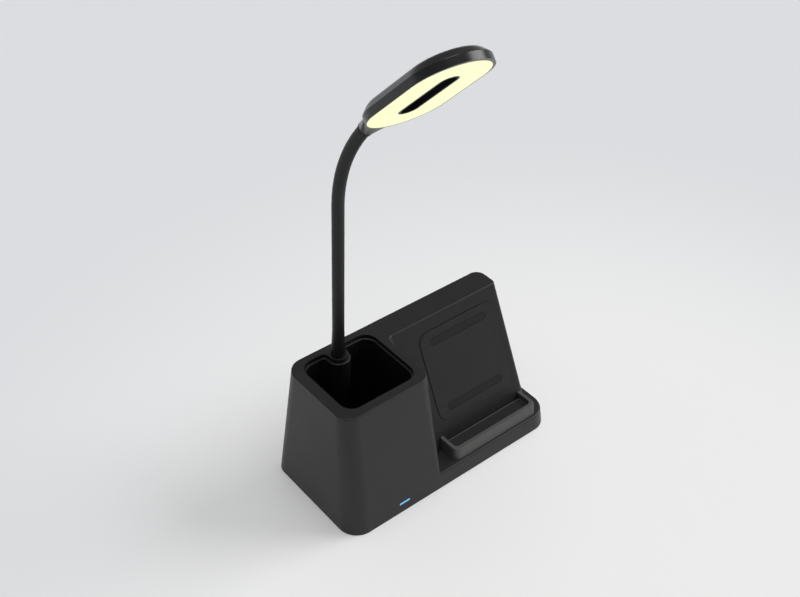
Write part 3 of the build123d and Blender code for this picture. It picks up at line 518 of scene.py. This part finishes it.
bpy.ops.object.select_all(action="DESELECT")
bpy.ops.mesh.primitive_circle_add(
    vertices=ring_points, radius=neck_radius, fill_type="NOTHING", location=neck_point(skin_start)
)
skin = bpy.context.object
skin.name = "neck_skin"
only(skin)
bpy.ops.object.transform_apply(location=True, rotation=True, scale=True)
open_whole(skin)
rise = (neck_rise - skin_start) / straight_steps
for step in range(straight_steps):
    bpy.ops.mesh.extrude_region_move(TRANSFORM_OT_translate={"value": (0, 0, rise)})
bpy.ops.mesh.spin(
    steps=bend_steps,
    angle=-neck_angle(skin_end),
    center=neck_point(neck_rise) + forward * neck_bend_radius,
    axis=sideways,
)
bpy.ops.object.mode_set(mode="OBJECT")
last_ring = [point.co for point in skin.data.vertices[-ring_points:]]
last_middle = sum(last_ring, Vector()) / ring_points
print("rings of the skin:", len(skin.data.vertices) // ring_points)
print("miss of its last ring:", round((last_middle - neck_point(skin_end)).length / MM, 3), "mm")

# %% [markdown]
# A skin in one piece could follow only two bodies, and the neck has nine. So the tube is cut
# into eight lengths that each cross one hinge. The cuts lie midway between hinges, where nothing
# bends, and so the lengths meet unseen. Each length is a copy of the whole tube with both ends
# cut away by bisect.

# %% Cut the skin into lengths that cross one hinge each
skin_wall = 0.5 * MM
smooth_angle = radians(40)
cuts = [(low + high) / 2 for low, high in zip(hinge_runs, hinge_runs[1:])]


def cut_away(piece, run, below):
    """Removes what lies below or above a run of the neck."""
    open_whole(piece)
    bpy.ops.mesh.bisect(
        plane_co=neck_point(run), plane_no=neck_direction(run), clear_inner=below, clear_outer=not below
    )
    bpy.ops.object.mode_set(mode="OBJECT")


def skin_length(index):
    """The stretch of skin that crosses one hinge, with its wall and its finish."""
    piece = skin.copy()
    piece.data = skin.data.copy()
    piece.name = f"neck_skin_{index + 1}"
    bpy.context.scene.collection.objects.link(piece)
    if index > 0:
        cut_away(piece, cuts[index - 1], below=True)
    if index < len(cuts):
        cut_away(piece, cuts[index], below=False)
    open_whole(piece)
    bpy.ops.mesh.normals_make_consistent(inside=False)
    bpy.ops.object.mode_set(mode="OBJECT")
    wall = piece.modifiers.new("wall", "SOLIDIFY")
    wall.thickness = skin_wall
    wall.offset = -1
    bpy.ops.object.modifier_apply(modifier="wall")
    bpy.ops.object.shade_smooth_by_angle(angle=smooth_angle)
    piece.data.materials.append(soft_rubber)
    return piece


for index, run in enumerate(hinge_runs):
    length = skin_length(index)
    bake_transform(length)
    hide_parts(f"neck_sleeve_{index}", f"neck_sleeve_{index + 1}")
bpy.data.objects.remove(skin)

# %% [markdown]
# The lamp stands on a wide pale table, which is the background too. A painted pool of light, paler and
# warmer paint, lies to the front and right of the lamp and fades out with distance. A small even share
# of white, for what the camera, mirroring surfaces and clear ones see, keeps the table pale without
# more light on the lamp. The rest is plain paint, so the lamp's shadow stays on it.

# %% Table
table_size = 40.0
# The pool is painted light: paler, warmer paint to the front and right of the lamp stands in for the
# light that falls there.
light_pool_middle = (0.05, -0.12, 0.0)
light_pool_radius = 0.15
light_pool_end = 0.48
painted_light_pool_paint = (0.950, 0.947, 0.935)
far_paint = (0.787, 0.797, 0.818)
paint_roughness = 0.9
paint_specular = 0.1
seen_white = (0.98, 0.99, 1.0)
seen_white_share = 0.12
bpy.ops.object.select_all(action="DESELECT")
bpy.ops.mesh.primitive_plane_add(size=table_size, location=(0, 0, 0))
table = bpy.context.object
table.name = "table"
table_paint, tree, shader = start_material("pale table")
from_light_pool = tree.nodes.new("ShaderNodeVectorMath")
from_light_pool.operation = "DISTANCE"
feed(tree, object_place(tree), from_light_pool.inputs[0])
feed(tree, light_pool_middle, from_light_pool.inputs[1])
# Painted light: the pool's paint fades into the plain table paint with distance.
past_light_pool = fade(tree, from_light_pool.outputs["Value"], light_pool_radius, light_pool_end)
feed(tree, mix_colour(tree, past_light_pool, painted_light_pool_paint, far_paint), shader.inputs["Base Color"])
feed(tree, paint_roughness, shader.inputs["Roughness"])
feed(tree, paint_specular, shader.inputs["Specular IOR Level"])

rays = tree.nodes.new("ShaderNodeLightPath")
seen = rays.outputs["Is Camera Ray"]
for ray in ("Is Glossy Ray", "Is Transmission Ray"):
    seen = calculate(tree, "MAXIMUM", seen, rays.outputs[ray])
white = tree.nodes.new("ShaderNodeEmission")
feed(tree, seen_white, white.inputs["Color"])
blend_white = tree.nodes.new("ShaderNodeMixShader")
feed(tree, calculate(tree, "MULTIPLY", seen, seen_white_share), blend_white.inputs["Fac"])
feed(tree, shader.outputs["BSDF"], blend_white.inputs[1])
feed(tree, white.outputs["Emission"], blend_white.inputs[2])
feed(tree, blend_white.outputs["Shader"], tree.nodes["Material Output"].inputs["Surface"])
table.data.materials.append(table_paint)
print("table made,", table_size, "m wide")

# %% [markdown]
# One wide lamp hangs overhead, and a wide key lamp stands low at the right, so the shadow falls
# to the left. Both count as far away, which lights the whole table alike. The world adds an even
# fill, from all round, that keeps the black plastic readable on its dark side.

# %% Lamps and world
fill_colour = (0.80, 0.81, 0.83)
fill_strength = 0.33


def far_softbox(name, azimuth, elevation, width, strength):
    """A large soft lamp far away, as wide as the given angle in degrees."""
    lamp_data = bpy.data.lights.new(name, "SUN")
    lamp_data.angle = radians(width)
    lamp_data.energy = strength
    lamp = bpy.data.objects.new(name, lamp_data)
    bpy.context.scene.collection.objects.link(lamp)
    to_lamp = direction_to(azimuth, elevation)
    lamp.matrix_world = to_lamp.to_track_quat("Z", "Y").to_matrix().to_4x4()


far_softbox("key softbox", azimuth=-21, elevation=33, width=38, strength=1.6)
far_softbox("top softbox", azimuth=0, elevation=90, width=34, strength=1.0)

world = bpy.data.worlds.new("pale world")
bpy.context.scene.world = world
world.use_nodes = True
fill = world.node_tree.nodes["Background"]
feed(world.node_tree, fill_colour, fill.inputs["Color"])
feed(world.node_tree, fill_strength, fill.inputs["Strength"])
bpy.context.scene.view_settings.view_transform = "Standard"
print("lamps:", len(bpy.data.lights), "strength of the fill:", fill_strength)
